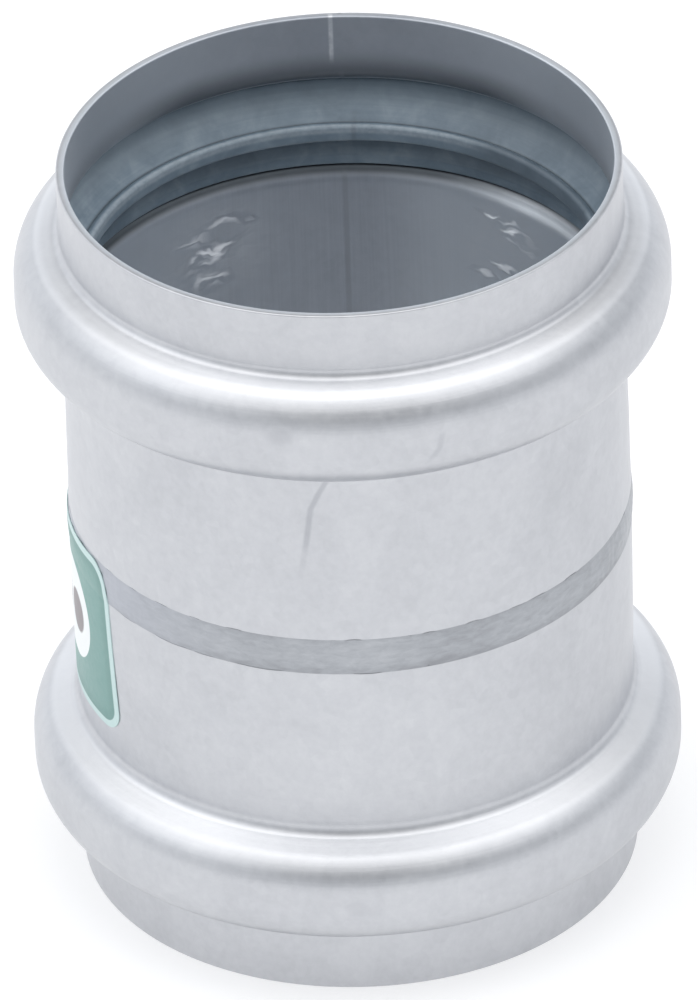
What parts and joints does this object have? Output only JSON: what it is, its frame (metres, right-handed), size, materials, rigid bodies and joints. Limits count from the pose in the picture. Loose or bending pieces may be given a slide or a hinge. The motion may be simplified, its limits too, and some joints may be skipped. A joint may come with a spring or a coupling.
{
  "type": "slip coupling",
  "caption": "Short double-ended push-fit coupling of galvanised steel tube: a straight collar and a rolled seal bead at each mouth, a weld band round the middle.",
  "frame": {"origin": "on the coupling's axis, in the plane of the lower rim", "axes": "+Z along the coupling towards the upper mouth, front at -Y, label at -X"},
  "size_m": [0.1242, 0.1242, 0.152],
  "materials": {
    "galvanised_steel": "matte galvanised, faintly mottled",
    "weld_steel": "brushed weld zone, streaky and duller than the tube",
    "seal_rubber": "blue-grey rubber, satin",
    "label_film": "green printed film with a pale border, satin"
  },
  "bodies": {
    "root": {"upper_socket": "galvanised_steel", "lower_socket": "galvanised_steel", "weld_band": "weld_steel", "upper_seal": "seal_rubber", "lower_seal": "seal_rubber", "label": "label_film"}
  },
  "joints": []
}
